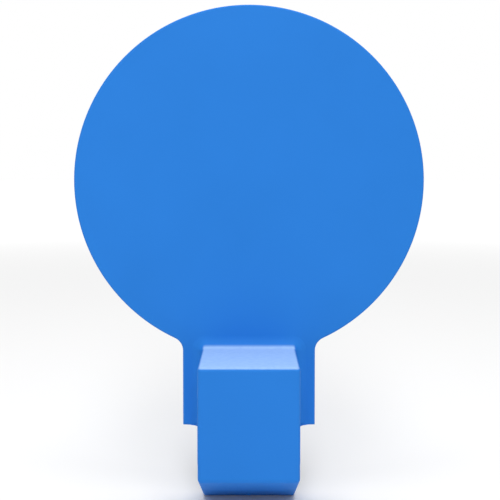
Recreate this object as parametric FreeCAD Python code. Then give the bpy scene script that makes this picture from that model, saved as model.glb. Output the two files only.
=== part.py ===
"""Signal disc unit of an ice fishing tip-up.

A moulded disc on a boxed foot hinges on a bracket that screws to the tip-up's board.
A torsion spring inside the foot holds the disc upright; folded forward and down it is
held by the nose of a trip lever, which the line lifts away through the lever's tail.

Millimetres, +Z up.  The front of the disc looks along -Y.  The origin is on the board,
under the bracket's flange, midway between its two screw holes.
"""
import FreeCAD
import Part
import math
import os

from FreeCAD import Vector

# ---------------------------------------------------------------- driving dimensions
# signal moulding: disc, neck and the boxed foot
DISC_R = 50.0
PLATE_T = 2.5
PLATE_EDGE_R = 0.6
NECK_HALF = 19.0
NECK_FILLET_R = 4.0
RIM_W = 2.0
RIM_H = 0.9
RIB_HALF_GAP = 9.0
RIB_W = 1.6
RIB_TOP = 113.0
FOOT_HALF = 13.3
FOOT_WALL = 2.2
FOOT_EDGE_R = 1.2
SHOULDER_FILLET_R = 3.0
SKIRT_R = 3.2
DISC_CENTRE_Z = 90.9
SHOULDER_Z = 20.5
FOOT_TOP_Z = 43.2
TOE_Z = 13.3
HEEL_TOP_Z = 4.4
TOE_Y = -39.2
PLATE_FRONT_Y = -15.2

# hinge
PIVOT_Y = -27.5
PIVOT_Z = 14.8
PIN_R = 2.0
RUN_GAP = 0.05
BUSH_R = 3.2
BUSH_HALF = 2.4
ARM_HALF = 2.0
ARM_EYE_R = 4.6
SLOT_HALF = 2.6

# cover at the back of the foot
COVER_T = 2.0
COVER_GAP = 0.1
BOSS_X = 8.9
BOSS_R = 2.5
BOSS_LEN = 5.6
SCREW_R = 1.0
SCREW_HEAD_R = 1.9
SCREW_LEN = 6.4
WINDOW_X = 5.6

# bracket
FLANGE_HALF_X = 13.0
FLANGE_HALF_Y = 9.5
FLANGE_T = 3.0
SCREW_SPACING = 17.0
FLANGE_HOLE_R = 2.2
COLUMN_FRONT_Y = -5.5
COLUMN_BACK_Y = 2.0
ARM_TOP_Z = 36.4
ARM_UNDER_Z = 30.6

# trip lever
LEVER_Y = -1.7
LEVER_Z = 29.3
LEVER_X0 = 2.6
LEVER_T = 2.5
LEVER_SWING = 30.0
LEVER_HUB_R = 3.5
TRIP_PIN_R = 1.5
EYE_REACH = 18.6
EYE_R = 3.3
EYELET_R = 2.1
EYELET_BORE_R = 1.5
NOSE_FRONT_Y = -12.35
NOSE_LOW_Z = 26.6
NOSE_HIGH_Z = 30.0

# torsion spring
WIRE_R = 0.55
COIL_R = 3.95
COIL_TURNS = 5
SPRING_PITCH = 1.25
SPRING_X0 = -10.2
FLOOR_LEG_REACH = 5.5
ARM_LEG = (8.45, 10.0)

PLATE_BACK_Y = PLATE_FRONT_Y + PLATE_T
CAVITY_HALF = FOOT_HALF - FOOT_WALL
CAVITY_TOP_Z = FOOT_TOP_Z - FOOT_WALL
COVER_FRONT_Y = PLATE_BACK_Y - COVER_T
BOSS_LOW_Z = PIVOT_Z - 5.0
BOSS_HIGH_Z = PIVOT_Z + 21.9
PAD_Z0 = ARM_TOP_Z + 0.15
PAD_T = 2.0
HEEL_SLOPE = math.atan2(TOE_Z, PLATE_FRONT_Y - TOE_Y)
X_AXIS = Vector(1, 0, 0)


# ---------------------------------------------------------------- shape helpers
def block(x0, x1, y0, y1, z0, z1):
    """Box between two corners."""
    return Part.makeBox(x1 - x0, y1 - y0, z1 - z0, Vector(x0, y0, z0))


def rod_x(radius, x0, x1, y, z):
    """Round bar along X."""
    return Part.makeCylinder(radius, x1 - x0, Vector(x0, y, z), X_AXIS)


def rod_y(radius, y0, y1, x, z):
    """Round bar along Y."""
    return Part.makeCylinder(radius, y1 - y0, Vector(x, y0, z), Vector(0, 1, 0))


def rod_z(radius, z0, z1, x, y):
    """Round bar along Z."""
    return Part.makeCylinder(radius, z1 - z0, Vector(x, y, z0), Vector(0, 0, 1))


def side_profile(points, x0, x1):
    """Prism along X over a closed outline of (y, z) points."""
    corners = [Vector(x0, y, z) for y, z in points]
    face = Part.Face(Part.makePolygon(corners + corners[:1]))
    return face.extrude(Vector(x1 - x0, 0, 0))


def edges_where(shape, test):
    """Edges of the shape whose middle point and direction pass the test."""
    found = []
    for edge in shape.Edges:
        middle = edge.valueAt((edge.FirstParameter + edge.LastParameter) / 2)
        ends = [vertex.Point for vertex in edge.Vertexes]
        span = ends[-1] - ends[0]
        if test(middle, span):
            found.append(edge)
    return found


def near(a, b):
    """True when two lengths are the same to a hundredth of a millimetre."""
    return abs(a - b) < 0.01


def along(span, axis):
    """True when a span runs along one axis only."""
    parts = [abs(span.x), abs(span.y), abs(span.z)]
    return parts[axis] > 0.01 and sum(parts) - parts[axis] < 0.01


# ---------------------------------------------------------------- signal moulding
def heel_line_z(y):
    """Height of the sloping underside of the foot."""
    return (PLATE_FRONT_Y - y) * TOE_Z / (PLATE_FRONT_Y - TOE_Y)


def plate():
    """Disc, neck and shoulders as one flat plate with softened front and back edges."""
    disc = rod_y(DISC_R, PLATE_FRONT_Y, PLATE_BACK_Y, 0, DISC_CENTRE_Z)
    neck = block(-NECK_HALF, NECK_HALF, PLATE_FRONT_Y, PLATE_BACK_Y, SHOULDER_Z, DISC_CENTRE_Z)
    flat = disc.fuse(neck).removeSplitter()
    corners = edges_where(flat, lambda m, s: along(s, 1) and near(abs(m.x), NECK_HALF) and m.z > 30)
    flat = flat.makeFillet(NECK_FILLET_R, corners)
    rims = edges_where(flat, lambda m, s: not along(s, 1) and m.z > SHOULDER_Z + 0.5)
    return flat.makeFillet(PLATE_EDGE_R, rims)


def foot_block():
    """Outside of the boxed foot, with rounded corners towards the front."""
    outline = [
        (PLATE_BACK_Y, 0),
        (PLATE_FRONT_Y, 0),
        (TOE_Y, TOE_Z),
        (TOE_Y, FOOT_TOP_Z),
        (PLATE_BACK_Y, FOOT_TOP_Z),
    ]
    foot = side_profile(outline, -FOOT_HALF, FOOT_HALF)
    front = edges_where(foot, lambda m, s: near(m.y, TOE_Y))
    sides = edges_where(foot, lambda m, s: near(abs(m.x), FOOT_HALF) and m.y < PLATE_FRONT_Y - 1)
    wanted = {edge.hashCode(): edge for edge in front + sides}
    return foot.makeFillet(FOOT_EDGE_R, list(wanted.values()))


def plate_and_foot():
    """Plate and foot in one, with a flared root where the foot leaves the plate."""
    body = plate().fuse(foot_block()).removeSplitter()
    root = edges_where(body, lambda m, s: near(m.y, PLATE_FRONT_Y) and m.z > SHOULDER_Z + 0.1
                       and m.z < FOOT_TOP_Z + 0.01 and abs(m.x) < FOOT_HALF + 0.01)
    return body.makeFillet(SKIRT_R, root)


def shoulder_fillet(side):
    """Hollow corner between a shoulder's underside and the foot's side."""
    r = SHOULDER_FILLET_R
    x_in = side * FOOT_HALF
    x_out = side * (FOOT_HALF + r)
    corner = block(min(x_in, x_out), max(x_in, x_out), PLATE_FRONT_Y, PLATE_BACK_Y,
                   SHOULDER_Z - r, SHOULDER_Z)
    return corner.cut(rod_y(r, PLATE_FRONT_Y, PLATE_BACK_Y, x_out, SHOULDER_Z - r))


def back_stiffening():
    """Rim round the back of the disc and two ribs that carry the foot's load up into it."""
    y0 = PLATE_BACK_Y
    y1 = PLATE_BACK_Y + RIM_H
    outer = DISC_R - PLATE_EDGE_R
    ring = rod_y(outer, y0, y1, 0, DISC_CENTRE_Z).cut(rod_y(outer - RIM_W, y0, y1, 0, DISC_CENTRE_Z))
    for side in (-1, 1):
        x = side * RIB_HALF_GAP
        rib = block(x - RIB_W / 2, x + RIB_W / 2, y0, y1, FOOT_TOP_Z + 1.5, RIB_TOP)
        ring = ring.fuse(rib)
    return ring


def foot_cavity():
    """Hollow of the foot, open to the back, over a solid strip at the heel."""
    lift = FOOT_WALL / math.cos(HEEL_SLOPE)
    front_y = TOE_Y + FOOT_WALL
    floor_y = PLATE_FRONT_Y - (HEEL_TOP_Z - lift) * (PLATE_FRONT_Y - TOE_Y) / TOE_Z
    outline = [
        (PLATE_BACK_Y, HEEL_TOP_Z),
        (floor_y, HEEL_TOP_Z),
        (front_y, heel_line_z(front_y) + lift),
        (front_y, CAVITY_TOP_Z),
        (PLATE_BACK_Y, CAVITY_TOP_Z),
    ]
    return side_profile(outline, -CAVITY_HALF, CAVITY_HALF)


def screw_places():
    """(x, z) of the four cover screws."""
    return [(x, z) for z in (BOSS_LOW_Z, BOSS_HIGH_Z) for x in (-BOSS_X, BOSS_X)]


def signal_disc():
    """Disc, neck and hollow foot in one moulding, with bosses for the cover's screws."""
    body = plate_and_foot().fuse(back_stiffening())
    for side in (-1, 1):
        body = body.fuse(shoulder_fillet(side))
    body = body.cut(foot_cavity())
    for x, z in screw_places():
        boss = rod_y(BOSS_R, COVER_FRONT_Y - BOSS_LEN, COVER_FRONT_Y, x, z)
        body = body.fuse(boss.common(block(-FOOT_HALF, FOOT_HALF, TOE_Y, COVER_FRONT_Y, 0, FOOT_TOP_Z)))
        body = body.cut(rod_y(SCREW_R, PLATE_BACK_Y - SCREW_LEN - 0.5, PLATE_BACK_Y, x, z))
    body = body.cut(rod_x(PIN_R, -FOOT_HALF - 1, FOOT_HALF + 1, PIVOT_Y, PIVOT_Z))
    return body.removeSplitter()


def foot_back_cover():
    """Flat lid in the back of the foot, slotted for the bracket's arm and the lever's nose."""
    edge = CAVITY_HALF - COVER_GAP
    lid = block(-edge, edge, COVER_FRONT_Y, PLATE_BACK_Y, HEEL_TOP_Z + COVER_GAP, CAVITY_TOP_Z - COVER_GAP)
    through = (COVER_FRONT_Y - 1, PLATE_BACK_Y + 1)
    lid = lid.cut(block(-SLOT_HALF, SLOT_HALF, *through, HEEL_TOP_Z - 1, PAD_Z0 + PAD_T))
    lid = lid.cut(block(0, WINDOW_X, *through, NOSE_LOW_Z - 0.9, NOSE_HIGH_Z + 5.6))
    for x, z in screw_places():
        lid = lid.cut(screw_shape(x, z, 0.1, 0.0))
    return lid


def screw_shape(x, z, slack, recess):
    """Countersunk screw, its head flush with the cover's back."""
    head_h = SCREW_HEAD_R - SCREW_R
    head = Part.makeCone(SCREW_R + slack, SCREW_HEAD_R + slack, head_h,
                         Vector(x, PLATE_BACK_Y - head_h - recess, z), Vector(0, 1, 0))
    shank = rod_y(SCREW_R + slack, PLATE_BACK_Y - SCREW_LEN, PLATE_BACK_Y - head_h - recess, x, z)
    return head.fuse(shank)


def cover_screws():
    """Four self-tapping screws with crossed drives."""
    screws = []
    for x, z in screw_places():
        screw = screw_shape(x, z, 0.0, 0.1)
        for half_x, half_z in ((0.95, 0.2), (0.2, 0.95)):
            drive = block(x - half_x, x + half_x, PLATE_BACK_Y - 0.65, PLATE_BACK_Y + 1,
                          z - half_z, z + half_z)
            screw = screw.cut(drive)
        screws.append(screw)
    return Part.makeCompound(screws)


def upright_stop_pad():
    """Rubber bumper, T-shaped, in the top of the cover's slot."""
    z1 = PAD_Z0 + PAD_T
    tongue = block(-SLOT_HALF + 0.05, SLOT_HALF - 0.05, COVER_FRONT_Y, PLATE_BACK_Y, PAD_Z0, z1 - 0.05)
    bar = block(-4.0, 4.0, COVER_FRONT_Y - 1.8, COVER_FRONT_Y, PAD_Z0, CAVITY_TOP_Z - 0.1)
    return tongue.fuse(bar).removeSplitter()


# ---------------------------------------------------------------- hinge
def hinge_pin():
    """Steel pin pressed through both side walls of the foot."""
    pin = rod_x(PIN_R, -FOOT_HALF + 0.15, FOOT_HALF - 0.15, PIVOT_Y, PIVOT_Z)
    ends = edges_where(pin, lambda m, s: s.Length < 0.01)
    return pin.makeChamfer(0.3, ends)


def pin_sleeve(x0, x1, outer):
    """Plastic sleeve on the hinge pin between the arm and a side wall."""
    sleeve = rod_x(outer, x0, x1, PIVOT_Y, PIVOT_Z)
    return sleeve.cut(rod_x(PIN_R + RUN_GAP, x0, x1, PIVOT_Y, PIVOT_Z))


def arm_bush():
    """Bronze bush pressed into the arm, running on the hinge pin."""
    bush = rod_x(BUSH_R, -BUSH_HALF, BUSH_HALF, PIVOT_Y, PIVOT_Z)
    return bush.cut(rod_x(PIN_R + RUN_GAP, -BUSH_HALF, BUSH_HALF, PIVOT_Y, PIVOT_Z))


def spring_leg_angle(reach, side):
    """Angle round the pin where a straight leg to (y, z) leaves the coil."""
    y, z = reach
    return math.degrees(math.atan2(z, y) + side * math.acos(COIL_R / math.hypot(y, z)))


def wire_run(start, end):
    """Straight length of spring wire with a rounded far end."""
    span = end - start
    run = Part.makeCylinder(WIRE_R, span.Length, start, span)
    return run.fuse(Part.makeSphere(WIRE_R, end))


def torsion_spring():
    """Close-wound spring, one leg on the foot's floor and one hooked behind the arm."""
    floor_y = PIVOT_Y + FLOOR_LEG_REACH
    lift = (FOOT_WALL + WIRE_R + RUN_GAP) / math.cos(HEEL_SLOPE)
    floor_leg = (FLOOR_LEG_REACH, heel_line_z(floor_y) + lift - PIVOT_Z)
    floor_angle = spring_leg_angle(floor_leg, -1)
    hook_angle = spring_leg_angle(ARM_LEG, 1)
    turn = COIL_TURNS + (floor_angle - hook_angle + 360) / 360
    helix = Part.makeHelix(SPRING_PITCH, SPRING_PITCH * turn, COIL_R)
    helix.rotate(Vector(0, 0, 0), Vector(0, 1, 0), 90)
    helix.rotate(Vector(0, 0, 0), X_AXIS, 90 - floor_angle)
    path = Part.Wire(helix.Edges)
    edge = path.Edges[0]
    start = edge.valueAt(edge.FirstParameter)
    ring = Part.Wire(Part.makeCircle(WIRE_R, start, edge.tangentAt(edge.FirstParameter)))
    coil = path.makePipeShell([ring], True, True)
    end_x = SPRING_PITCH * turn
    a = math.radians(-hook_angle)
    end = Vector(end_x, COIL_R * math.cos(a), COIL_R * math.sin(a))
    floor_tip = Vector(0, floor_leg[0], -floor_leg[1])
    bend = Vector(end_x, ARM_LEG[0], -ARM_LEG[1])
    hook_tip = Vector(ARM_HALF - SPRING_X0 - 0.6, ARM_LEG[0], -ARM_LEG[1])
    spring = coil.fuse(wire_run(start, floor_tip)).fuse(wire_run(end, bend)).fuse(wire_run(bend, hook_tip))
    spring = spring.mirror(Vector(0, 0, 0), Vector(0, 0, 1))
    spring.translate(Vector(SPRING_X0, PIVOT_Y, PIVOT_Z))
    return spring


# ---------------------------------------------------------------- bracket and lever
def hinge_bracket():
    """Cast bracket: flange, column and swan-neck arm that reaches into the foot."""
    arm_outline = [
        (PIVOT_Y - ARM_EYE_R, PIVOT_Z),
        (PIVOT_Y + ARM_EYE_R, PIVOT_Z),
        (PIVOT_Y + 7.8, PIVOT_Z + 8.0),
        (PIVOT_Y + 7.8, ARM_UNDER_Z),
        (COLUMN_FRONT_Y, ARM_UNDER_Z),
        (COLUMN_FRONT_Y, FLANGE_T / 2),
        (COLUMN_BACK_Y, FLANGE_T / 2),
        (COLUMN_BACK_Y, ARM_TOP_Z),
        (PIVOT_Y + 6.5, ARM_TOP_Z),
        (PIVOT_Y + 1.5, ARM_TOP_Z - 5.0),
    ]
    arm = side_profile(arm_outline, -ARM_HALF, ARM_HALF)
    arm = arm.fuse(rod_x(ARM_EYE_R, -ARM_HALF, ARM_HALF, PIVOT_Y, PIVOT_Z)).removeSplitter()
    arm = round_arm(arm)
    body = arm.fuse(flange())
    body = body.fuse(side_profile([(COLUMN_BACK_Y - 0.5, 12.0), (COLUMN_BACK_Y - 0.5, 1.5), (8.0, 1.5)],
                                  -ARM_HALF, ARM_HALF))
    for y, z in lever_stop_places():
        body = body.fuse(rod_x(1.2, ARM_HALF - 0.5, LEVER_X0 + LEVER_T, y, z))
    body = body.cut(rod_x(BUSH_R, -ARM_HALF - 1, ARM_HALF + 1, PIVOT_Y, PIVOT_Z))
    body = body.cut(rod_x(TRIP_PIN_R, -ARM_HALF - 1, ARM_HALF + 1, LEVER_Y, LEVER_Z))
    return body.removeSplitter()


def round_arm(arm):
    """Rounds the bends of the arm as a casting has them."""
    rounds = (
        (1.2, PIVOT_Y + 7.8, ARM_UNDER_Z),
        (3.0, COLUMN_FRONT_Y, ARM_UNDER_Z),
        (4.0, COLUMN_BACK_Y, ARM_TOP_Z),
        (3.0, PIVOT_Y + 6.5, ARM_TOP_Z),
        (3.0, PIVOT_Y + 7.8, PIVOT_Z + 8.0),
    )
    for radius, y, z in rounds:
        corner = edges_where(arm, lambda m, s: along(s, 0) and near(m.y, y) and near(m.z, z))
        arm = arm.makeFillet(radius, corner)
    return arm


def flange():
    """Foot flange with two screw holes and rounded corners."""
    slab = block(-FLANGE_HALF_X, FLANGE_HALF_X, -FLANGE_HALF_Y, FLANGE_HALF_Y, 0, FLANGE_T)
    corners = edges_where(slab, lambda m, s: along(s, 2))
    slab = slab.makeFillet(3.5, corners)
    upper = edges_where(slab, lambda m, s: near(m.z, FLANGE_T))
    slab = slab.makeFillet(0.5, upper)
    for side in (-1, 1):
        x = side * SCREW_SPACING / 2
        slab = slab.cut(rod_z(FLANGE_HOLE_R, -1, FLANGE_T + 1, x, 0))
        sink = Part.makeCone(FLANGE_HOLE_R, FLANGE_HOLE_R + 1.6, 1.6,
                             Vector(x, 0, FLANGE_T - 1.6 + 0.01), Vector(0, 0, 1))
        slab = slab.cut(sink)
    return slab


def lever_stop_places():
    """(y, z) of the two pegs that limit the lever: below its tail, and above it when set."""
    places = []
    for reach, offset, angle in ((5.0, -3.9, -LEVER_SWING), (3.2, 3.9, 0.0)):
        a = math.radians(angle)
        y = LEVER_Y + reach * math.cos(a) - offset * math.sin(a)
        z = LEVER_Z + reach * math.sin(a) + offset * math.cos(a)
        places.append((y, z))
    return places


def trip_lever():
    """Flat lever drawn in its set position, then swung to the released one."""
    x0 = LEVER_X0
    x1 = LEVER_X0 + LEVER_T
    eye_y = LEVER_Y + EYE_REACH
    tail = side_profile([
        (LEVER_Y, LEVER_Z - 2.6),
        (eye_y, LEVER_Z - 2.2),
        (eye_y, LEVER_Z + 2.2),
        (LEVER_Y, LEVER_Z + 2.6),
    ], x0, x1)
    nose = side_profile([
        (LEVER_Y, LEVER_Z - 3.0),
        (NOSE_FRONT_Y + 2.8, NOSE_LOW_Z),
        (NOSE_FRONT_Y, NOSE_LOW_Z),
        (NOSE_FRONT_Y, NOSE_HIGH_Z),
        (LEVER_Y, LEVER_Z + 3.0),
    ], x0, x1)
    lever = rod_x(LEVER_HUB_R, x0, x1, LEVER_Y, LEVER_Z).fuse(tail).fuse(nose)
    lever = lever.fuse(rod_x(EYE_R, x0, x1, eye_y, LEVER_Z))
    lever = lever.cut(rod_x(TRIP_PIN_R + RUN_GAP, x0, x1, LEVER_Y, LEVER_Z))
    lever = lever.cut(rod_x(EYELET_R, x0, x1, eye_y, LEVER_Z)).removeSplitter()
    return released(lever)


def released(shape):
    """Turns a shape drawn in the lever's set position to its released position."""
    shape.rotate(Vector(0, LEVER_Y, LEVER_Z), X_AXIS, -LEVER_SWING)
    return shape


def line_eyelet():
    """Brass eyelet, rolled over both faces of the lever's tail."""
    y = LEVER_Y + EYE_REACH
    x0 = LEVER_X0
    x1 = LEVER_X0 + LEVER_T
    ring = rod_x(EYELET_R, x0, x1, y, LEVER_Z)
    ring = ring.fuse(rod_x(EYELET_R + 0.7, x0 - 0.4, x0, y, LEVER_Z))
    ring = ring.fuse(rod_x(EYELET_R + 0.7, x1, x1 + 0.4, y, LEVER_Z))
    ring = ring.cut(rod_x(EYELET_BORE_R, x0 - 1, x1 + 1, y, LEVER_Z))
    return released(ring.removeSplitter())


def trip_pin():
    """Headed pin through the column and the lever, grooved for its clip."""
    end = LEVER_X0 + LEVER_T + 1.7
    pin = rod_x(TRIP_PIN_R, -ARM_HALF, end, LEVER_Y, LEVER_Z)
    head = rod_x(TRIP_PIN_R + 1.2, -ARM_HALF - 1.1, -ARM_HALF, LEVER_Y, LEVER_Z)
    groove = pin_sleeve_at(LEVER_X0 + LEVER_T + 0.3, LEVER_X0 + LEVER_T + 1.0, 1.1, TRIP_PIN_R + 1)
    return pin.fuse(head).cut(groove).removeSplitter()


def pin_sleeve_at(x0, x1, inner, outer):
    """Ring round the lever's pivot."""
    ring = rod_x(outer, x0, x1, LEVER_Y, LEVER_Z)
    return ring.cut(rod_x(inner, x0, x1, LEVER_Y, LEVER_Z))


def trip_pin_clip():
    """Open retaining clip in the pin's groove."""
    x0 = LEVER_X0 + LEVER_T + 0.35
    x1 = x0 + 0.6
    clip = pin_sleeve_at(x0, x1, 1.15, 3.0)
    return clip.cut(block(x0 - 1, x1 + 1, LEVER_Y - 0.9, LEVER_Y + 0.9, LEVER_Z - 4, LEVER_Z))


def trip_washer():
    """Thin washer between the column and the lever."""
    return pin_sleeve_at(ARM_HALF + 0.05, LEVER_X0 - 0.05, TRIP_PIN_R + RUN_GAP, 3.2)


# ---------------------------------------------------------------- output
def main():
    """Builds every piece and writes one file for each."""
    parts = {
        "hinge_bracket": hinge_bracket(),
        "arm_bush": arm_bush(),
        "trip_pin": trip_pin(),
        "trip_washer": trip_washer(),
        "trip_pin_clip": trip_pin_clip(),
        "trip_lever": trip_lever(),
        "line_eyelet": line_eyelet(),
        "signal_disc": signal_disc(),
        "foot_back_cover": foot_back_cover(),
        "cover_screws": cover_screws(),
        "upright_stop_pad": upright_stop_pad(),
        "hinge_pin": hinge_pin(),
        "torsion_spring": torsion_spring(),
        "spring_sleeve": pin_sleeve(-CAVITY_HALF + 0.1, -BUSH_HALF - 0.1, 3.1),
        "spacer_sleeve": pin_sleeve(BUSH_HALF + 0.1, CAVITY_HALF - 0.1, 3.6),
    }
    os.makedirs("parts", exist_ok=True)
    for name, shape in parts.items():
        box = shape.BoundBox
        print(name, shape.isValid(), len(shape.Solids), round(shape.Volume, 1),
              [round(v, 2) for v in (box.XMin, box.XMax, box.YMin, box.YMax, box.ZMin, box.ZMax)])
        shape.exportStep("parts/" + name + ".step")


main()
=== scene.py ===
"""Signal disc unit of an ice fishing tip-up: pieces, finishes, floor, lights and camera."""
import bpy
import math
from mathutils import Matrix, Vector


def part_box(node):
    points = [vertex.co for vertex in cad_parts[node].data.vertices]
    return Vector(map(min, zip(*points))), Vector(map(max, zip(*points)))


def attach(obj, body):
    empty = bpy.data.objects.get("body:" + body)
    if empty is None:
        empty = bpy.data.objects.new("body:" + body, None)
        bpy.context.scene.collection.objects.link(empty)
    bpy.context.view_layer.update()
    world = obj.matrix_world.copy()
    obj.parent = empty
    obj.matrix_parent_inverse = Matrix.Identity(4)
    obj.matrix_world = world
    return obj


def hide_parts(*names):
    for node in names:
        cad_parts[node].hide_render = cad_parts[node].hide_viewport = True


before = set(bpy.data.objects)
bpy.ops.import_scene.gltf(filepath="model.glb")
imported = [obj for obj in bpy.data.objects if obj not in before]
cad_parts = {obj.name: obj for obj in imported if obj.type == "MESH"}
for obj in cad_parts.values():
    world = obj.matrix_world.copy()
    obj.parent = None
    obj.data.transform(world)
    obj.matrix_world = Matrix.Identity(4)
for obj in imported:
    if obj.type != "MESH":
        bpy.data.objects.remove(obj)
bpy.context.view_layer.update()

MM = 0.001
SAME_PLACE = 1e-6

# ------------------------------------------------------------------ places read from the frame
disc_low, disc_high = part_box("signal_disc")
cover_low, cover_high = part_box("foot_back_cover")
pin_low, pin_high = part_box("hinge_pin")
washer_low, washer_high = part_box("trip_washer")
bracket_low, bracket_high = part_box("hinge_bracket")

BACK_Y = cover_high.y
TOE_Y = disc_low.y
PIVOT = (pin_low + pin_high) / 2
PIN_R = (pin_high.z - pin_low.z) / 2
LEVER = Vector((0, (washer_low.y + washer_high.y) / 2, (washer_low.z + washer_high.z) / 2))
ARM_TOP_Z = bracket_high.z

# ------------------------------------------------------------------ sizes of the moulding
DISC_R = 50.0 * MM
DISC_Z = disc_high.z - DISC_R
PLATE_T = 2.5 * MM
FRONT_Y = BACK_Y - PLATE_T
NECK_HALF = 19.0 * MM
NECK_FILLET = 4.0 * MM
SHOULDER_Z = 20.5 * MM
SHOULDER_FILLET = 3.0 * MM
FOOT_HALF = 13.3 * MM
FOOT_TOP_Z = 43.2 * MM
FOOT_ROUND = 1.0 * MM
TOE_Z = 13.3 * MM
WALL = 2.2 * MM
HEEL_STRIP = 4.4 * MM
SKIRT = 3.2 * MM
SKIRT_FOOT_Z = SHOULDER_Z + 0.7 * MM
RIM_ROUND = 0.6 * MM
RIM_BAND = (DISC_R - 2.6 * MM, DISC_R - 0.9 * MM)
BACK_RAISE = 0.9 * MM
RIB_X = 9.0 * MM
RIB_HALF = 0.8 * MM
MARK_R = 2.2 * MM
MARK_DEPTH = 0.1 * MM
MARK_SPOTS = ((0, -18), (0, 30), (-30, 0), (30, 0), (-22, -26), (22, -26), (-22, 26), (22, 26))

# ------------------------------------------------------------------ sizes of the screws
SCREW_X = 8.9 * MM
SCREW_R = 1.0 * MM
BOSS_R = 2.5 * MM
BOSS_DEPTH = 5.6 * MM


# ------------------------------------------------------------------ bench helpers
def clear_bench():
    """Nothing selected, object mode."""
    if bpy.context.object and bpy.context.object.mode != "OBJECT":
        bpy.ops.object.mode_set(mode="OBJECT")
    bpy.ops.object.select_all(action="DESELECT")


def take(piece):
    """Clears the bench and takes one piece up."""
    clear_bench()
    bpy.context.view_layer.objects.active = piece
    piece.select_set(True)


def settle(name):
    """Names the newest piece and sets its place into its mesh."""
    piece = bpy.context.object
    piece.name = name
    piece.data.name = name
    bpy.ops.object.transform_apply(location=True, rotation=True, scale=True)
    return piece


def block(name, low, high):
    """Box between two corners."""
    clear_bench()
    middle = [(a + b) / 2 for a, b in zip(low, high)]
    size = [b - a for a, b in zip(low, high)]
    bpy.ops.mesh.primitive_cube_add(size=1, location=middle)
    bpy.context.object.scale = size
    return settle(name)


def bar(name, radius, start, end, sides=48, end_radius=None):
    """Round bar or taper from one point to another along a row axis."""
    clear_bench()
    start, end = Vector(start), Vector(end)
    turn = (end - start).to_track_quat("Z", "Y").to_euler()
    bpy.ops.mesh.primitive_cone_add(
        vertices=sides, radius1=radius, radius2=radius if end_radius is None else end_radius,
        depth=(end - start).length, location=(start + end) / 2, rotation=turn)
    return settle(name)


def edge_turns(mesh):
    """Angle in degrees between the two faces at each edge."""
    sides = {}
    for face in mesh.polygons:
        for key in face.edge_keys:
            sides.setdefault(key, []).append(face.normal)
    return {key: math.degrees(pair[0].angle(pair[-1], 0)) for key, pair in sides.items()}


def pick(piece, kind, test, sharp=0):
    """Enters edit mode with what passes the test selected.

    Edges count only where their faces turn by sharp degrees or more.
    """
    take(piece)
    mesh = piece.data
    for part in (mesh.vertices, mesh.edges, mesh.polygons):
        part.foreach_set("select", [False] * len(part))
    if kind == "EDGE":
        turns = edge_turns(mesh) if sharp else {}
        for edge in mesh.edges:
            a, b = (mesh.vertices[i].co for i in edge.vertices)
            edge.select = turns.get(edge.key, 0) >= sharp and test((a + b) / 2, b - a)
    elif kind == "FACE":
        for face in mesh.polygons:
            face.select = test(face.center, face.normal)
    else:
        for corner in mesh.vertices:
            corner.select = test(corner.co)
    bpy.context.tool_settings.mesh_select_mode = (kind == "VERT", kind == "EDGE", kind == "FACE")
    bpy.ops.object.mode_set(mode="EDIT")


def done():
    """Back to object mode."""
    bpy.ops.object.mode_set(mode="OBJECT")


def anywhere(*_):
    """Test that everything passes."""
    return True


def extrude(step):
    """Extrudes what is selected."""
    bpy.ops.mesh.extrude_region_move(TRANSFORM_OT_translate={"value": step})


def face_outwards():
    """Turns every face outwards and goes back to object mode."""
    bpy.ops.mesh.select_all(action="SELECT")
    bpy.ops.mesh.normals_make_consistent(inside=False)
    done()


def join_loose(pieces, name):
    """Makes one piece of several without welding them."""
    clear_bench()
    for piece in pieces:
        piece.select_set(True)
    bpy.context.view_layer.objects.active = pieces[0]
    bpy.ops.object.join()
    return settle(name)


def finish_with(piece, kind, **settings):
    """Adds a modifier and applies it."""
    take(piece)
    modifier = piece.modifiers.new(kind.lower(), kind)
    for key, value in settings.items():
        setattr(modifier, key, value)
    bpy.ops.object.modifier_apply(modifier=modifier.name)


def join_solid(piece, tool, how="UNION"):
    """Welds a tool's shape onto a piece, or cuts it away, and puts the tool off the bench."""
    finish_with(piece, "BOOLEAN", operation=how, object=tool, solver="EXACT")
    bpy.data.objects.remove(tool)


def cut(piece, tool):
    """Cuts a tool's shape out of a piece."""
    join_solid(piece, tool, "DIFFERENCE")


def round_edges(piece, test, radius, segments=4, sharp=20):
    """Rounds the sharp edges that pass the test."""
    pick(piece, "EDGE", test, sharp)
    bpy.ops.mesh.bevel(offset=radius, segments=segments, profile=0.5, affect="EDGES")
    done()


def mend(piece):
    """Merges doubled corners and closes pinholes that a cut can leave."""
    pick(piece, "VERT", anywhere)
    bpy.ops.mesh.remove_doubles(threshold=0.002 * MM)
    bpy.ops.mesh.dissolve_degenerate(threshold=0.002 * MM)
    bpy.ops.mesh.fill_holes(sides=4)
    done()


def ease_edges(piece, width, segments=3, angle=34):
    """Breaks every sharp edge that is left, and shades flat faces flat and rounds smooth."""
    finish_with(piece, "BEVEL", width=width, segments=segments, limit_method="ANGLE",
                angle_limit=math.radians(angle), use_clamp_overlap=True)
    mend(piece)
    shade(piece, angle)


def shade(piece, angle=34):
    """Smooth shading, sharp past the angle."""
    take(piece)
    bpy.ops.object.shade_smooth_by_angle(angle=math.radians(angle))
    finish_with(piece, "WEIGHTED_NORMAL", keep_sharp=True, weight=100)


def draw_chain(name, places):
    """Chain of edges drawn point by point, left in edit mode with all of it selected."""
    clear_bench()
    bpy.ops.mesh.primitive_plane_add(size=MM, location=places[0])
    piece = settle(name)
    pick(piece, "VERT", anywhere)
    bpy.ops.mesh.merge(type="CENTER")
    for here, there in zip(places, places[1:]):
        extrude(Vector(there) - Vector(here))
    bpy.ops.mesh.select_all(action="SELECT")
    return piece


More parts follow.
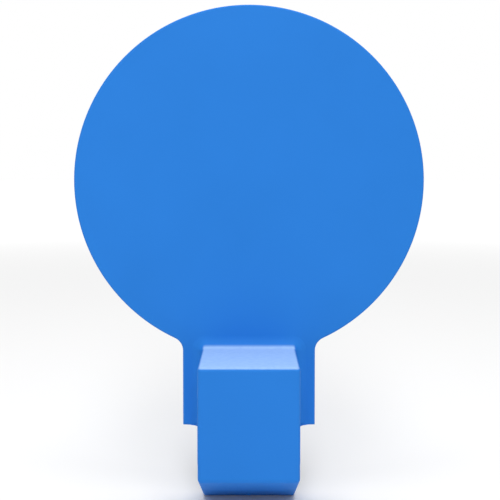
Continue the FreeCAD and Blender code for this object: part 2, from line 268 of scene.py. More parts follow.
def profile(name, outline, low_x, high_x):
    """Side outline of (y, z) points, extruded along X."""
    piece = draw_chain(name, [(low_x, y, z) for y, z in outline])
    bpy.ops.mesh.edge_face_add()
    extrude((high_x - low_x, 0, 0))
    face_outwards()
    return piece


def turned(name, centre, axis, section, steps=64):
    """Section of (along, radius) points spun round an axis."""
    centre, axis = Vector(centre), Vector(axis)
    places = [centre + axis * along + Vector((0, 0, radius)) for along, radius in section]
    piece = draw_chain(name, places)
    bpy.ops.mesh.spin(steps=steps, angle=math.tau, center=centre, axis=axis)
    bpy.ops.mesh.select_all(action="SELECT")
    bpy.ops.mesh.remove_doubles(threshold=0.001 * MM)
    face_outwards()
    return piece


def ring_section(start, end, bore, radius, chamfer=0.15 * MM):
    """Section of a plain ring with chamfered ends."""
    return [(start, bore), (start, radius - chamfer), (start + chamfer, radius),
            (end - chamfer, radius), (end, radius - chamfer), (end, bore), (start, bore)]


def in_mm(section):
    """Pairs of millimetres, turned to metres."""
    return [(along * MM, radius * MM) for along, radius in section]


def near(a, b, slack=0.02 * MM):
    """True when two lengths are the same."""
    return abs(a - b) < slack


def runs_along(span, axis):
    """True when an edge runs along one row axis."""
    other = [abs(span[i]) for i in range(3) if i != axis]
    return max(other) < SAME_PLACE < abs(span[axis])


def bend_at(y, z):
    """Test for the edge along X at one corner of a side outline."""
    return lambda middle, span: runs_along(span, 0) and near(middle.y, y) and near(middle.z, z)


# ------------------------------------------------------------------ signal moulding
NECK_FILLET_X = NECK_HALF + NECK_FILLET
NECK_DROP = math.sqrt((DISC_R + NECK_FILLET) ** 2 - NECK_FILLET_X ** 2)


def heel_line_z(y):
    """Height of the foot's sloping underside."""
    return (FRONT_Y - y) * TOE_Z / (FRONT_Y - TOE_Y)


def draw_down(piece, x, z_from, z_to, pull_in=None):
    """Draws both open ends of an outline at +x and -x down, or in towards the middle."""
    pick(piece, "VERT", lambda p: near(abs(p.x), x) and near(p.z, z_from))
    extrude((0, 0, z_to - z_from))
    if pull_in:
        bpy.ops.transform.resize(value=(pull_in / x, 1, 1), center_override=(0, 0, 0))
    done()


def open_disc():
    """Round outline with a gap at its foot for the neck, and the gap's corner at +x."""
    clear_bench()
    bpy.ops.mesh.primitive_circle_add(
        vertices=256, radius=DISC_R, fill_type="NOTHING", location=(0, FRONT_Y, DISC_Z),
        rotation=(math.pi / 2, 0, 0))
    piece = settle("signal_moulding")
    share = DISC_R / (DISC_R + NECK_FILLET)
    touch = Vector((NECK_FILLET_X * share, FRONT_Y, DISC_Z - NECK_DROP * share))
    pick(piece, "VERT", lambda p: abs(p.x) < touch.x + 0.3 * MM and low_on_disc(p))
    bpy.ops.mesh.delete(type="VERT")
    done()
    return piece, touch


def low_on_disc(place):
    """True near the lowest part of the disc."""
    return place.z < DISC_Z - 0.8 * DISC_R


def neck_fillet(piece, touch, side):
    """Joins one end of the open disc to the neck with a fillet."""
    ends = [v.co for v in piece.data.vertices if v.co.x * side > 0 and low_on_disc(v.co)]
    last = min(ends, key=lambda p: p.z).copy()
    pick(piece, "VERT", lambda p: (p - last).length < SAME_PLACE)
    extrude(Vector((touch.x * side, touch.y, touch.z)) - last)
    centre = (NECK_FILLET_X * side, FRONT_Y, DISC_Z - NECK_DROP)
    swing = math.atan2(NECK_DROP, NECK_FILLET_X)
    bpy.ops.mesh.spin(steps=10, angle=swing * side, center=centre, axis=(0, 1, 0))
    done()


def shoulder_fillet(piece, side):
    """Turns one end of the outline from the shoulder down along the foot."""
    x = side * (FOOT_HALF + SHOULDER_FILLET)
    pick(piece, "VERT", lambda p: near(p.x, x) and near(p.z, SHOULDER_Z))
    centre = (x, FRONT_Y, SHOULDER_Z - SHOULDER_FILLET)
    bpy.ops.mesh.spin(steps=8, angle=side * math.pi / 2, center=centre, axis=(0, 1, 0))
    done()


def disc_outline():
    """Closed outline of disc, neck, shoulders and heel, standing at the plate's front."""
    piece, touch = open_disc()
    for side in (-1, 1):
        neck_fillet(piece, touch, side)
    draw_down(piece, NECK_HALF, DISC_Z - NECK_DROP, SHOULDER_Z)
    draw_down(piece, NECK_HALF, SHOULDER_Z, SHOULDER_Z, FOOT_HALF + SHOULDER_FILLET)
    for side in (-1, 1):
        shoulder_fillet(piece, side)
    draw_down(piece, FOOT_HALF, SHOULDER_Z - SHOULDER_FILLET, 0)
    pick(piece, "VERT", lambda p: near(p.z, 0))
    bpy.ops.mesh.edge_face_add()
    bpy.ops.mesh.select_all(action="SELECT")
    bpy.ops.mesh.edge_face_add()
    done()
    return piece


def slice_plate(piece, point, normal):
    """Scores a line where a plane meets a piece, taking nothing away."""
    pick(piece, "FACE", anywhere)
    bpy.ops.mesh.bisect(plane_co=point, plane_no=normal)
    done()


def moulding_outside():
    """Disc, neck, shoulders and foot with their large rounds."""
    body = disc_outline()
    pick(body, "FACE", anywhere)
    extrude((0, PLATE_T, 0))
    face_outwards()
    slice_plate(body, (FOOT_HALF, 0, 0), (1, 0, 0))
    slice_plate(body, (-FOOT_HALF, 0, 0), (1, 0, 0))
    slice_plate(body, (0, 0, FOOT_TOP_Z), (0, 0, 1))
    pick(body, "FACE", lambda m, n: n.y < -0.9 and abs(m.x) < FOOT_HALF and m.z < FOOT_TOP_Z)
    extrude((0, TOE_Y - FRONT_Y, 0))
    done()
    pick(body, "VERT", lambda p: near(p.y, TOE_Y) and near(p.z, 0))
    bpy.ops.transform.translate(value=(0, 0, TOE_Z))
    bpy.ops.mesh.select_all(action="SELECT")
    bpy.ops.mesh.dissolve_limited(angle_limit=0.01)
    done()
    slice_plate(body, (0, 0, SHOULDER_Z + 1 * MM), (0, 0, 1))
    round_edges(body, on_foot, FOOT_ROUND, 5)
    round_edges(body, on_rim, RIM_ROUND, 4, 60)
    return body


def on_foot(middle, span):
    """True for the edges of the boxed foot and the two ends of the heel."""
    return middle.y < FRONT_Y - 2 * MM or runs_along(span, 1) and near(middle.z, 0)


def on_rim(middle, span):
    """True for the front and back edges of the plate that lie clear of the foot."""
    clear_x = FOOT_HALF + SHOULDER_FILLET + 0.1 * MM
    return (middle.y > FRONT_Y - 0.1 * MM and not runs_along(span, 1)
            and (abs(middle.x) > clear_x or middle.z > DISC_Z))


def skirt_ring(flare, depth):
    """Closed outline round the foot's sides and top, some way out from its walls."""
    corner_x = FOOT_HALF - FOOT_ROUND
    corner_z = FOOT_TOP_Z - FOOT_ROUND
    radius = FOOT_ROUND + flare
    y = FRONT_Y - depth
    places = [(-corner_x - radius, y, SKIRT_FOOT_Z)]
    for side, start in ((-1, 180), (1, 90)):
        for step in range(9):
            a = math.radians(start - 90 * step / 8)
            x = side * corner_x + radius * math.cos(a)
            places.append((x, y, corner_z + radius * math.sin(a)))
    places.append((corner_x + radius, y, SKIRT_FOOT_Z))
    ring = draw_chain("skirt", places)
    bpy.ops.mesh.edge_face_add()
    bpy.ops.mesh.delete(type="ONLY_FACE")
    done()
    return ring


def skirt():
    """Flared root of the foot, bridged from rings that step in towards its walls."""
    bury, tuck, lift = 0.5 * MM, 0.03 * MM, 0.01 * MM
    rings = [skirt_ring(SKIRT, -bury)]
    for step in range(11):
        a = math.radians(9 * step)
        flare = SKIRT * (1 - math.sin(a)) - tuck
        rings.append(skirt_ring(flare, SKIRT * (1 - math.cos(a)) + lift))
    piece = join_loose(rings, "skirt")
    pick(piece, "VERT", anywhere)
    bpy.ops.mesh.bridge_edge_loops()
    done()
    for end_y in (FRONT_Y + bury, FRONT_Y - SKIRT - lift):
        pick(piece, "VERT", lambda p: near(p.y, end_y, 0.005 * MM))
        bpy.ops.mesh.edge_face_add()
        done()
    pick(piece, "VERT", anywhere)
    face_outwards()
    return piece


def cavity():
    """Tool for the hollow of the foot: it leaves a solid strip at the heel."""
    lift = WALL / math.cos(math.atan2(TOE_Z, FRONT_Y - TOE_Y))
    front_y = TOE_Y + WALL
    floor_y = FRONT_Y - (HEEL_STRIP - lift) * (FRONT_Y - TOE_Y) / TOE_Z
    half = FOOT_HALF - WALL
    top_z = FOOT_TOP_Z - WALL
    tool = block("cavity", (-half, front_y, HEEL_STRIP), (half, BACK_Y + MM, top_z))
    slice_plate(tool, (0, floor_y, 0), (0, 1, 0))
    pick(tool, "VERT", lambda p: near(p.y, front_y) and near(p.z, HEEL_STRIP))
    bpy.ops.transform.translate(value=(0, 0, heel_line_z(front_y) + lift - HEEL_STRIP))
    done()
    return tool


def screw_places():
    """(x, z) of the cover's four screws."""
    rows = (PIVOT.z - 5 * MM, PIVOT.z + 21.9 * MM)
    return [(x, z) for z in rows for x in (-SCREW_X, SCREW_X)]


def back_of_disc(body):
    """Rim and two ribs behind the disc."""
    root_y = BACK_Y - 0.4 * MM
    top_y = BACK_Y + BACK_RAISE
    inner, outer = RIM_BAND
    rim = bar("rim", outer, (0, root_y, DISC_Z), (0, top_y, DISC_Z), 256)
    cut(rim, bar("rim_bore", inner, (0, BACK_Y - MM, DISC_Z), (0, BACK_Y + 2 * MM, DISC_Z), 256))
    join_solid(body, rim)
    for side in (-1, 1):
        x = side * RIB_X
        low = (x - RIB_HALF, root_y, FOOT_TOP_Z + 1.5 * MM)
        join_solid(body, block("rib", low, (x + RIB_HALF, top_y, DISC_Z + 22 * MM)))


def ejector_marks(body):
    """Shallow round marks that the mould's ejector pins leave."""
    for x, z in MARK_SPOTS:
        place = Vector((x * MM, BACK_Y - MARK_DEPTH, DISC_Z + z * MM))
        cut(body, bar("mark", MARK_R, place, place + Vector((0, MM, 0)), 40))


def screw_bosses(body):
    """Bored bosses inside the foot that the cover's screws bite into."""
    lid_y = cover_low.y
    for x, z in screw_places():
        join_solid(body, bar("boss", BOSS_R, (x, lid_y - BOSS_DEPTH, z), (x, lid_y, z), 40))
        bore_y = lid_y - 5 * MM
        cut(body, bar("boss_bore", SCREW_R, (x, bore_y, z), (x, lid_y + MM, z), 24))


def gate_mark(body):
    """Small stub on the sloping underside where the mould was filled."""
    y = FRONT_Y - 3 * MM
    gate = Vector((0, y, heel_line_z(y)))
    root, tip = gate + Vector((0, 0, MM)), gate - Vector((0, 0, 0.2 * MM))
    join_solid(body, bar("gate", 0.6 * MM, root, tip, 20, 0.5 * MM))


def signal_moulding():
    """Disc, neck and hollow foot in one moulding."""
    body = moulding_outside()
    join_solid(body, skirt())
    cut(body, cavity())
    back_of_disc(body)
    screw_bosses(body)
    reach = Vector((20 * MM, 0, 0))
    cut(body, bar("pin_bore", PIN_R, PIVOT - reach, PIVOT + reach, 48))
    gate_mark(body)
    ease_edges(body, 0.15 * MM, 2)
    ejector_marks(body)
    mend(body)
    shade(body)
    return body


# ------------------------------------------------------------------ foot cover and its screws
def through_cover(name, low_x, high_x, low_z, high_z):
    """Square tool that passes right through the cover."""
    return block(name, (low_x, cover_low.y - MM, low_z), (high_x, cover_high.y + MM, high_z))


def foot_back_cover():
    """Flat lid: a slot for the arm, a window for the lever's nose and four countersunk holes."""
    lid = block("back_lid", cover_low, cover_high)
    round_edges(lid, lambda m, s: runs_along(s, 1), 0.5 * MM)
    cut(lid, through_cover("slot", -2.6 * MM, 2.6 * MM, 0, ARM_TOP_Z + 2.15 * MM))
    cut(lid, through_cover("window", -MM, 5.6 * MM, 25.7 * MM, 35.6 * MM))
    round_edges(lid, lambda m, s: runs_along(s, 1) and abs(m.x) < 6 * MM, 0.4 * MM)
    ease_edges(lid, 0.1 * MM)
    low_y, high_y = cover_low.y, cover_high.y
    for x, z in screw_places():
        cut(lid, bar("hole", 1.1 * MM, (x, low_y - MM, z), (x, high_y + MM, z), 32))
        root, mouth = (x, high_y - MM, z), (x, high_y + 0.01 * MM, z)
        cut(lid, bar("sink", 0.95 * MM, root, mouth, 48, 1.96 * MM))
    shade(lid)
    return lid


def cover_screw(x, z):
    """Countersunk self-tapping screw with a crossed drive."""
    top = cover_high.y - 0.1 * MM
    section = [(0, 0), (0, 1.75), (-0.12, 1.88), (-0.25, 1.88), (-1.0, 1.0)]
    for turn in range(8):
        start = -1.3 - turn * 0.5
        section += [(start, 0.78), (start - 0.2, 1.0), (start - 0.3, 1.0)]
    section += [(-5.6, 0.75), (-6.2, 0.1), (-6.2, 0)]
    screw = turned("lid_screw", (x, top, z), (0, 1, 0), in_mm(section), 48)
    for half_x, half_z in ((0.95, 0.2), (0.2, 0.95)):
        low = (x - half_x * MM, top - 0.55 * MM, z - half_z * MM)
        cut(screw, block("drive", low, (x + half_x * MM, top + MM, z + half_z * MM)))
    shade(screw, 30)
    return screw


def cover_screws():
    """Four screws as one piece."""
    return join_loose([cover_screw(x, z) for x, z in screw_places()], "lid_screws")


def stop_pad():
    """Rubber bumper, its tongue in the cover's slot and its bar behind the cover."""
    low = ARM_TOP_Z + 0.15 * MM
    half, root_y = 2.55 * MM, cover_low.y - 0.5 * MM
    pad = block("stop_pad", (-half, root_y, low), (half, cover_high.y, low + 1.95 * MM))
    round_edges(pad, lambda m, s: runs_along(s, 1) and m.z > low + MM, 0.45 * MM)
    half, high = 4 * MM, FOOT_TOP_Z - WALL - 0.1 * MM
    back = block("bar", (-half, cover_low.y - 1.8 * MM, low), (half, cover_low.y, high))
    round_edges(back, lambda m, s: runs_along(s, 1), 0.5 * MM)
    join_solid(back, pad)
    ease_edges(back, 0.2 * MM)
    back.name = "rubber_bumper"
    return back


# ------------------------------------------------------------------ hinge bracket
COLUMN_FRONT_Y = -5.5 * MM
COLUMN_BACK_Y = 2.0 * MM
ARM_UNDER_Z = 30.6 * MM
ARM_HALF = 2.0 * MM
FLANGE_T = 3.0 * MM
FLANGE_HALF = 9.5 * MM
FLANGE_HOLE_X = 8.5 * MM
FLANGE_HOLE_R = 2.2 * MM
BUSH_R = 3.2 * MM
LEVER_PIN_R = 1.5 * MM
LEVER_REST = -30


def bracket_arm():
    """Column and swan-neck arm with their bends rounded."""
    eye_r = 4.55 * MM
    top = ARM_TOP_Z
    bends = [
        (PIVOT.y - eye_r, PIVOT.z, 0),
        (PIVOT.y + eye_r, PIVOT.z, 0),
        (PIVOT.y + 7.8 * MM, PIVOT.z + 8 * MM, 3),
        (PIVOT.y + 7.8 * MM, ARM_UNDER_Z, 1.2),
        (COLUMN_FRONT_Y, ARM_UNDER_Z, 3),
        (COLUMN_FRONT_Y, FLANGE_T / 2, 0),
        (COLUMN_BACK_Y, FLANGE_T / 2, 0),
        (COLUMN_BACK_Y, top, 4),
        (PIVOT.y + 6.5 * MM, top, 3),
        (PIVOT.y + 1.5 * MM, top - 5 * MM, 2),
    ]
    arm = profile("cast_bracket", [(y, z) for y, z, bend in bends], -ARM_HALF, ARM_HALF)
    for y, z, bend in bends:
        if bend:
            round_edges(arm, bend_at(y, z), bend * MM, 8)
    return arm


def bracket_flange():
    """Foot flange with rounded corners."""
    high = (bracket_high.x, FLANGE_HALF, FLANGE_T)
    flange = block("flange", (bracket_low.x, -FLANGE_HALF, 0), high)
    round_edges(flange, lambda m, s: runs_along(s, 2), 3.5 * MM, 10)
    round_edges(flange, lambda m, s: near(m.z, FLANGE_T), 0.5 * MM, 4, 60)
    return flange


def bracket_bores(body):
    """Bores for the bush and the lever's pin, and two countersunk screw holes."""
    reach = Vector((5 * MM, 0, 0))
    cut(body, bar("bush_bore", BUSH_R, PIVOT - reach, PIVOT + reach, 64))
    cut(body, bar("pin_bore", LEVER_PIN_R, LEVER - reach, LEVER + reach, 48))
    for x in (-FLANGE_HOLE_X, FLANGE_HOLE_X):
        cut(body, bar("hole", FLANGE_HOLE_R, (x, 0, -MM), (x, 0, 5 * MM), 48))
        root, mouth = (x, 0, FLANGE_T - 1.6 * MM), (x, 0, FLANGE_T + 0.01 * MM)
        cut(body, bar("sink", FLANGE_HOLE_R - 0.01 * MM, root, mouth, 64, 3.81 * MM))


def hinge_bracket():
    """Cast bracket: flange, ribbed column, arm, raised eye and two stop pegs."""
    body = bracket_arm()
    reach = Vector((ARM_HALF + 0.15 * MM, 0, 0))
    join_solid(body, bar("eye", 4.6 * MM, PIVOT - reach, PIVOT + reach, 80))
    corners = in_mm([(1.5, 12), (1.5, 1.5), (8, 1.5)])
    join_solid(body, profile("web", corners, -ARM_HALF + 0.3 * MM, ARM_HALF - 0.3 * MM))
    join_solid(body, bracket_flange())
    round_edges(body, lambda m, s: near(m.z, FLANGE_T) and abs(m.x) < 2.1 * MM, 0.8 * MM, 4, 50)
    for along, up, swing in ((5.0, -3.9, 0), (3.2, 3.9, -LEVER_REST)):
        spot = lever_spot(along, up, swing)
        root, tip = (ARM_HALF - 0.5 * MM, *spot), (LEVER_FACES[1], *spot)
        join_solid(body, bar("peg", 1.2 * MM, root, tip, 32))
    bracket_bores(body)
    ease_edges(body, 0.3 * MM)
    return body


# ------------------------------------------------------------------ trip lever
LEVER_FACES = (2.6 * MM, 5.1 * MM)
EYELET_ALONG = 18.6
HUB_R = 3.5
NOSE = ((-10.65, 0.7), (-10.65, -2.7))


def lever_spot(along, up, swing=0):
    """(y, z) of a point on the lever, along its tail and up from it, swung up from rest."""
    a = math.radians(swing + LEVER_REST)
    return (LEVER.y + (along * math.cos(a) - up * math.sin(a)) * MM,
            LEVER.z + (along * math.sin(a) + up * math.cos(a)) * MM)


def arc(along, radius, start, end, steps):
    """Points round part of a circle on the lever's middle line."""
    spots = []
    for step in range(steps + 1):
        a = math.radians(start + (end - start) * step / steps)
        spots.append((along + radius * math.cos(a), radius * math.sin(a)))
    return spots


def trip_lever():
    """Flat lever: round eye, straight tail, hub and hooked nose."""
    outline = arc(EYELET_ALONG, 3.3, -138, 138, 28) + arc(0, HUB_R, 48, 135, 12)
    outline += [*NOSE, (-7.85, -2.7)] + arc(0, HUB_R, 237, 312, 10)
    lever = profile("pressed_lever", [lever_spot(*point) for point in outline], *LEVER_FACES)
    for corner in NOSE:
        round_edges(lever, bend_at(*lever_spot(*corner)), 0.4 * MM)
    spot = lever_spot(EYELET_ALONG, 0)
    reach = Vector((9 * MM, 0, 0))
    cut(lever, bar("pivot_bore", LEVER_PIN_R + 0.05 * MM, LEVER - reach, LEVER + reach, 48))
    cut(lever, bar("eye_bore", 2.1 * MM, (0, *spot), (9 * MM, *spot), 48))
    ease_edges(lever, 0.22 * MM)
    return lever


def rolled_rim(side, face):
    """Section of the eyelet's rim where it rolls over one face of the lever."""
    rim = [(face, 2.1), (face, 2.66)]
    for angle in (40, 90, 140):
        a = math.radians(angle)
        rim.append((face + side * 0.2 * MM * (1 - math.cos(a)), 2.6 + 0.2 * math.sin(a)))
    rim += [(face + side * 0.4 * MM, 2.5), (face + side * 0.38 * MM, 2.1),
            (face + side * 0.2 * MM, 1.65), (face - side * 0.15 * MM, 1.5)]
    return rim


def line_eyelet():
    """Eyelet rolled over both faces of the lever's tail."""
    low, high = LEVER_FACES
    section = rolled_rim(-1, low) + rolled_rim(1, high)[::-1]
    section = [(x, radius * MM) for x, radius in section]
    place = (0, *lever_spot(EYELET_ALONG, 0))
    ring = turned("brass_eyelet", place, (1, 0, 0), section + section[:1], 72)
    shade(ring, 50)
    return ring


# ------------------------------------------------------------------ pins, sleeves and clip
def trip_pin():
    """Headed pin, domed a little, with a groove for its clip."""
    head = [(-3.1, 0), (-3.1, 2.0), (-2.95, 2.5), (-2.7, 2.7), (-2.1, 2.7), (-2.0, 2.6)]
    shank = [(-2.0, 1.5), (5.4, 1.5), (5.4, 1.1), (6.1, 1.1), (6.1, 1.5), (6.5, 1.5), (6.8, 1.2)]
    pin = turned("lever_rod", LEVER, (1, 0, 0), in_mm(head + shank + [(6.8, 0)]))
    shade(pin, 30)
    return pin


def clip():
    """Open retaining ring with eased edges."""
    section = ring_section(5.45 * MM, 6.05 * MM, 1.15 * MM, 3.0 * MM, 0.1 * MM)
    ring = turned("snap_clip", LEVER, (1, 0, 0), section)
    gap = 0.9 * MM
    low = (4 * MM, LEVER.y - gap, LEVER.z - 4 * MM)
    cut(ring, block("mouth", low, (7 * MM, LEVER.y + gap, LEVER.z)))
    ease_edges(ring, 0.08 * MM, 2)
    return ring


def trip_washer():
    """Thin washer between column and lever."""
    section = ring_section(2.05 * MM, 2.55 * MM, 1.55 * MM, 3.2 * MM, 0.1 * MM)
    ring = turned("lever_washer", LEVER, (1, 0, 0), section)
    shade(ring, 30)
    return ring


def hinge_pin():
    """Pin with chamfered, slightly dished ends."""
    half = pin_high.x / MM
    section = in_mm([(-half + 0.2, 0), (-half, 1.0), (-half, 1.7), (-half + 0.3, 2)])
    section += [(-a, r) for a, r in section[::-1]]
    pin = turned("hinge_rod", PIVOT, (1, 0, 0), section)
    shade(pin, 30)
    return pin


def sleeve(name, start, end, radius):
    """Plain sleeve that runs on the hinge pin."""
    section = ring_section(start * MM, end * MM, 2.05 * MM, radius * MM)
    ring = turned(name, PIVOT, (1, 0, 0), section)
    shade(ring, 30)
    return ring


# ------------------------------------------------------------------ finishes
class Finish:
    """A node material under construction."""

    def __init__(self, name, color, roughness, metallic=0.0):
        self.material = bpy.data.materials.new(name)
        self.material.use_nodes = True
        self.tree = self.material.node_tree
        self.shader = self.tree.nodes["Principled BSDF"]
        self.shader.inputs["Base Color"].default_value = (*color, 1)
        self.shader.inputs["Roughness"].default_value = roughness
        self.shader.inputs["Metallic"].default_value = metallic
        self.place = self.tree.nodes.new("ShaderNodeTexCoord").outputs["Object"]

    def gloss(self, level):
        """Sets how strongly the surface mirrors what stands before it."""
        self.shader.inputs["Specular IOR Level"].default_value = level

    def node(self, kind, **inputs):
        """Adds a node and sets its plain inputs."""
        node = self.tree.nodes.new(kind)
        for key, value in inputs.items():
            node.inputs[key.replace("_", " ")].default_value = value
        return node

    def link(self, source, target):
        """Joins two sockets."""
        self.tree.links.new(source, target)

    def noise(self, scale, detail=3.0, roughness=0.5):
        """Noise by place, its scale in waves per metre."""
        noise = self.node("ShaderNodeTexNoise", Scale=scale, Detail=detail, Roughness=roughness)
        self.link(self.place, noise.inputs["Vector"])
        return noise.outputs["Fac"]

    def spread(self, source, low, high):
        """Maps a 0 to 1 value to a range."""
        spread = self.node("ShaderNodeMapRange", To_Min=low, To_Max=high)
        self.link(source, spread.inputs["Value"])
        return spread.outputs["Result"]

    def bump(self, height, strength, distance):
        """Raises the surface by a height value."""
        bump = self.node("ShaderNodeBump", Strength=strength, Distance=distance)
        self.link(height, bump.inputs["Height"])
        before = self.shader.inputs["Normal"].links
        if before:
            self.link(before[0].from_socket, bump.inputs["Normal"])
        self.link(bump.outputs["Normal"], self.shader.inputs["Normal"])

    def tint(self, mask, color, under=None):
        """Lays a colour over the base colour, or over a second one, by a mask."""
        mix = self.node("ShaderNodeMix")
        mix.data_type = "RGBA"
        below, above = (s for s in mix.inputs if s.type == "RGBA")
        base = self.shader.inputs["Base Color"]
        if base.links:
            self.link(base.links[0].from_socket, below)
        else:
            below.default_value = (*under, 1)
        above.default_value = (*color, 1)
        self.link(mask, mix.inputs[0])
        self.link([s for s in mix.outputs if s.type == "RGBA"][0], base)

    def along(self, axis, start, end):
        """0 to 1 between two places along a row axis."""
        split = self.node("ShaderNodeSeparateXYZ")
        self.link(self.place, split.inputs["Vector"])
        ramp = self.node("ShaderNodeMapRange", From_Min=start, From_Max=end)
        self.link(split.outputs[axis], ramp.inputs["Value"])
        return ramp.outputs["Result"]

    def times(self, a, b):
        """Product of two values."""
        product = self.node("ShaderNodeMath")
        product.operation = "MULTIPLY"
        self.link(a, product.inputs[0])
        self.link(b, product.inputs[1])
        return product.outputs["Value"]


def moulded_plastic(name, color, roughness):
    """Injection-moulded plastic: faint clouding, fine grain and a soft gloss."""
    finish = Finish(name, color, roughness)
    lighter = tuple(min(1, c * 1.05 + 0.002) for c in color)
    darker = tuple(c * 0.94 for c in color)
    finish.tint(finish.noise(35, 2), lighter, darker)
    finish.link(finish.spread(finish.noise(900, 4), roughness - 0.04, roughness + 0.05),
                finish.shader.inputs["Roughness"])
    finish.bump(finish.noise(5200, 2), 0.12, 0.00002)
    finish.bump(finish.noise(160, 2), 0.10, 0.0002)
    return finish


def painted_casting(name, color, roughness):
    """Powder-coated casting: orange-peel skin, a few pits and thin dusty wear."""
    finish = Finish(name, color, roughness)
    dust = tuple(c * 1.9 + 0.01 for c in color)
    finish.tint(finish.spread(finish.noise(420, 6, 0.65), -0.6, 1.0), dust, color)
    finish.link(finish.spread(finish.noise(260, 4), roughness - 0.1, roughness + 0.14),
                finish.shader.inputs["Roughness"])
    finish.bump(finish.noise(1500, 3), 0.35, 0.00006)
    finish.bump(finish.noise(350, 2), 0.2, 0.0002)
    return finish


def plain_metal(name, color, roughness, grain=(1, 1, 1)):
    """Metal with a fine drawn grain."""
    finish = Finish(name, color, roughness, 1.0)
    stretch = finish.node("ShaderNodeMapping", Scale=grain)
    finish.link(finish.place, stretch.inputs["Vector"])
    noise = finish.node("ShaderNodeTexNoise", Scale=2500, Detail=4.0)
    finish.link(stretch.outputs["Vector"], noise.inputs["Vector"])
    finish.link(finish.spread(noise.outputs["Fac"], roughness - 0.08, roughness + 0.12),
                finish.shader.inputs["Roughness"])
    finish.bump(noise.outputs["Fac"], 0.08, 0.00003)
    return finish


def dress(thing, finish):
    """Gives a piece or CAD node its finish."""
    thing.data.materials.clear()
    thing.data.materials.append(finish.material)


def paint_ledge_highlight(finish):
    """Painted highlight: paler colour on the flat ledge on top of the foot, broken by fine
    noise, standing in for the sheen that light from above leaves there.
    """
    highlight = finish.spread(finish.noise(700, 5), 0.8, 1.1)
    limits = (
        ("X", -FOOT_HALF, -FOOT_HALF + 0.5 * MM),
        ("X", FOOT_HALF, FOOT_HALF - 0.5 * MM),
        ("Y", FRONT_Y - 0.9 * MM, FRONT_Y - 1.8 * MM),
        ("Z", FOOT_TOP_Z - 0.5 * MM, FOOT_TOP_Z - 0.1 * MM),
    )
    for axis, start, end in limits:
        highlight = finish.times(highlight, finish.along(axis, start, end))
    # pale blue of the painted highlight
    finish.tint(highlight, (0.36, 0.56, 0.88))


blue = moulded_plastic("signal_blue", (0.021, 0.198, 0.655), 0.55)
blue.gloss(0.08)
# painted highlight on the top ledge of the foot
paint_ledge_highlight(blue)
cover_blue = moulded_plastic("cover_blue", (0.02, 0.19, 0.62), 0.5)
cover_blue.gloss(0.15)
steel = plain_metal("zinc_steel", (0.62, 0.63, 0.65), 0.3)
lever_steel = plain_metal("lever_steel", (0.6, 0.6, 0.61), 0.32, (1, 0.1, 1))
spring_steel = plain_metal("spring_steel", (0.42, 0.42, 0.44), 0.35)
bronze = plain_metal("bronze", (0.55, 0.34, 0.15), 0.4)
brass = plain_metal("brass", (0.72, 0.53, 0.22), 0.25)
nylon = moulded_plastic("white_nylon", (0.78, 0.78, 0.75), 0.5)
rubber = moulded_plastic("black_rubber", (0.02, 0.02, 0.02), 0.8)
grey_coat = painted_casting("bracket_coat", (0.045, 0.048, 0.052), 0.5)

FINISHES = {
    "hinge_bracket": grey_coat, "arm_bush": bronze, "trip_pin": steel, "trip_washer": nylon,
    "trip_pin_clip": spring_steel, "trip_lever": lever_steel, "line_eyelet": brass,
    "signal_disc": blue, "foot_back_cover": cover_blue, "cover_screws": steel,
    "upright_stop_pad": rubber, "hinge_pin": steel, "torsion_spring": spring_steel,
    "spring_sleeve": nylon, "spacer_sleeve": nylon,
}
for node, finish in FINISHES.items():
    dress(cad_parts[node], finish)


# ------------------------------------------------------------------ pieces in place
def fit(piece, node, body, finish):
    """Puts a finished piece in place of its CAD node."""
    dress(piece, finish)
    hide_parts(node)
    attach(piece, body)


DISC, BASE, TRIP = "disc_assembly", "hinge_base", "lever_assembly"
fit(signal_moulding(), "signal_disc", DISC, blue)
fit(foot_back_cover(), "foot_back_cover", DISC, cover_blue)
fit(cover_screws(), "cover_screws", DISC, steel)
fit(stop_pad(), "upright_stop_pad", DISC, rubber)
fit(hinge_pin(), "hinge_pin", DISC, steel)
fit(sleeve("spring_side_sleeve", -11.0, -2.5, 3.1), "spring_sleeve", DISC, nylon)
fit(sleeve("clear_side_sleeve", 2.5, 11.0, 3.6), "spacer_sleeve", DISC, nylon)
fit(sleeve("bronze_bush", -2.4, 2.4, 3.2), "arm_bush", BASE, bronze)
fit(hinge_bracket(), "hinge_bracket", BASE, grey_coat)
fit(trip_pin(), "trip_pin", BASE, steel)
fit(clip(), "trip_pin_clip", BASE, spring_steel)
fit(trip_washer(), "trip_washer", BASE, nylon)
fit(trip_lever(), "trip_lever", TRIP, lever_steel)
fit(line_eyelet(), "line_eyelet", TRIP, brass)


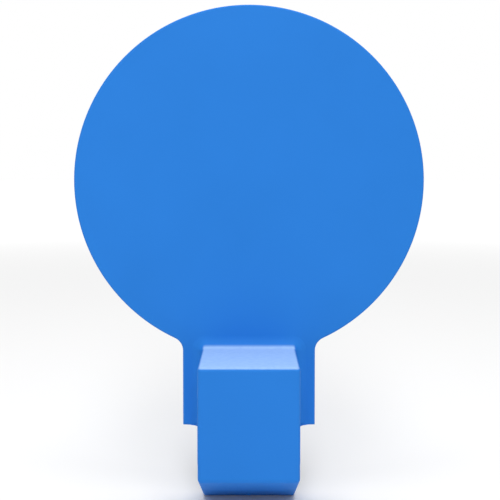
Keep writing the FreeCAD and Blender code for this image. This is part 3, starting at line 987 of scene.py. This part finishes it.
# ------------------------------------------------------------------ floor, lights, camera
def studio_floor():
    """Pale floor that takes soft shadows near the object and brightens to white far off."""
    clear_bench()
    bpy.ops.mesh.primitive_plane_add(size=8, location=(0, 0, -0.1 * MM))
    floor = settle("studio_floor")
    pale = (0.86, 0.86, 0.86)
    finish = Finish("studio_white", pale, 0.9)
    finish.gloss(0.1)
    finish.shader.inputs["Emission Color"].default_value = (1, 1, 1, 1)
    reach = finish.node("ShaderNodeVectorMath")
    reach.operation = "LENGTH"
    finish.link(finish.place, reach.inputs[0])
    fade = finish.node("ShaderNodeMapRange", From_Min=0.12, From_Max=0.8)
    finish.link(reach.outputs["Value"], fade.inputs["Value"])
    finish.tint(fade.outputs["Result"], (0, 0, 0), pale)
    finish.link(fade.outputs["Result"], finish.shader.inputs["Emission Strength"])
    dress(floor, finish)


def softbox(name, place, target, size, power):
    """Square area light that faces a point."""
    lamp = bpy.data.lights.new(name, "AREA")
    lamp.shape = "RECTANGLE"
    lamp.size, lamp.size_y = size
    lamp.energy = power
    light = bpy.data.objects.new(name, lamp)
    light.location = place
    aim = Vector(target) - Vector(place)
    light.rotation_euler = aim.to_track_quat("-Z", "Y").to_euler()
    bpy.context.scene.collection.objects.link(light)


def studio():
    """White surround that lights gently, a tall softbox in front and one overhead."""
    world = bpy.data.worlds.new("studio")
    world.use_nodes = True
    tree = world.node_tree
    tree.nodes["Background"].inputs["Color"].default_value = (1, 1, 1, 1)
    ray = tree.nodes.new("ShaderNodeLightPath")
    level = tree.nodes.new("ShaderNodeMapRange")
    level.inputs["To Min"].default_value = 0.4
    level.inputs["To Max"].default_value = 1.0
    tree.links.new(ray.outputs["Is Camera Ray"], level.inputs["Value"])
    tree.links.new(level.outputs["Result"], tree.nodes["Background"].inputs["Strength"])
    bpy.context.scene.world = world
    bpy.context.scene.view_settings.view_transform = "Standard"
    softbox("front_box", (0, -0.8, 0.75), (0, -0.02, 0.06), (0.3, 0.9), 4.8)
    softbox("top_box", (0, 0, 1.0), (0, 0, 0), (0.8, 0.8), 7)


def camera():
    """Camera before the disc, a little above its middle, looking slightly down."""
    eye = bpy.data.cameras.new("camera")
    eye.lens = 57.6
    eye.sensor_width = 36.0
    eye.shift_y = -0.1174
    eye.clip_start = 0.01
    view = bpy.data.objects.new("camera", eye)
    view.location = (0.0003, -0.2433, 0.0959)
    view.rotation_euler = (math.radians(88.0), 0, 0)
    bpy.context.scene.collection.objects.link(view)
    bpy.context.scene.camera = view


studio_floor()
studio()
camera()
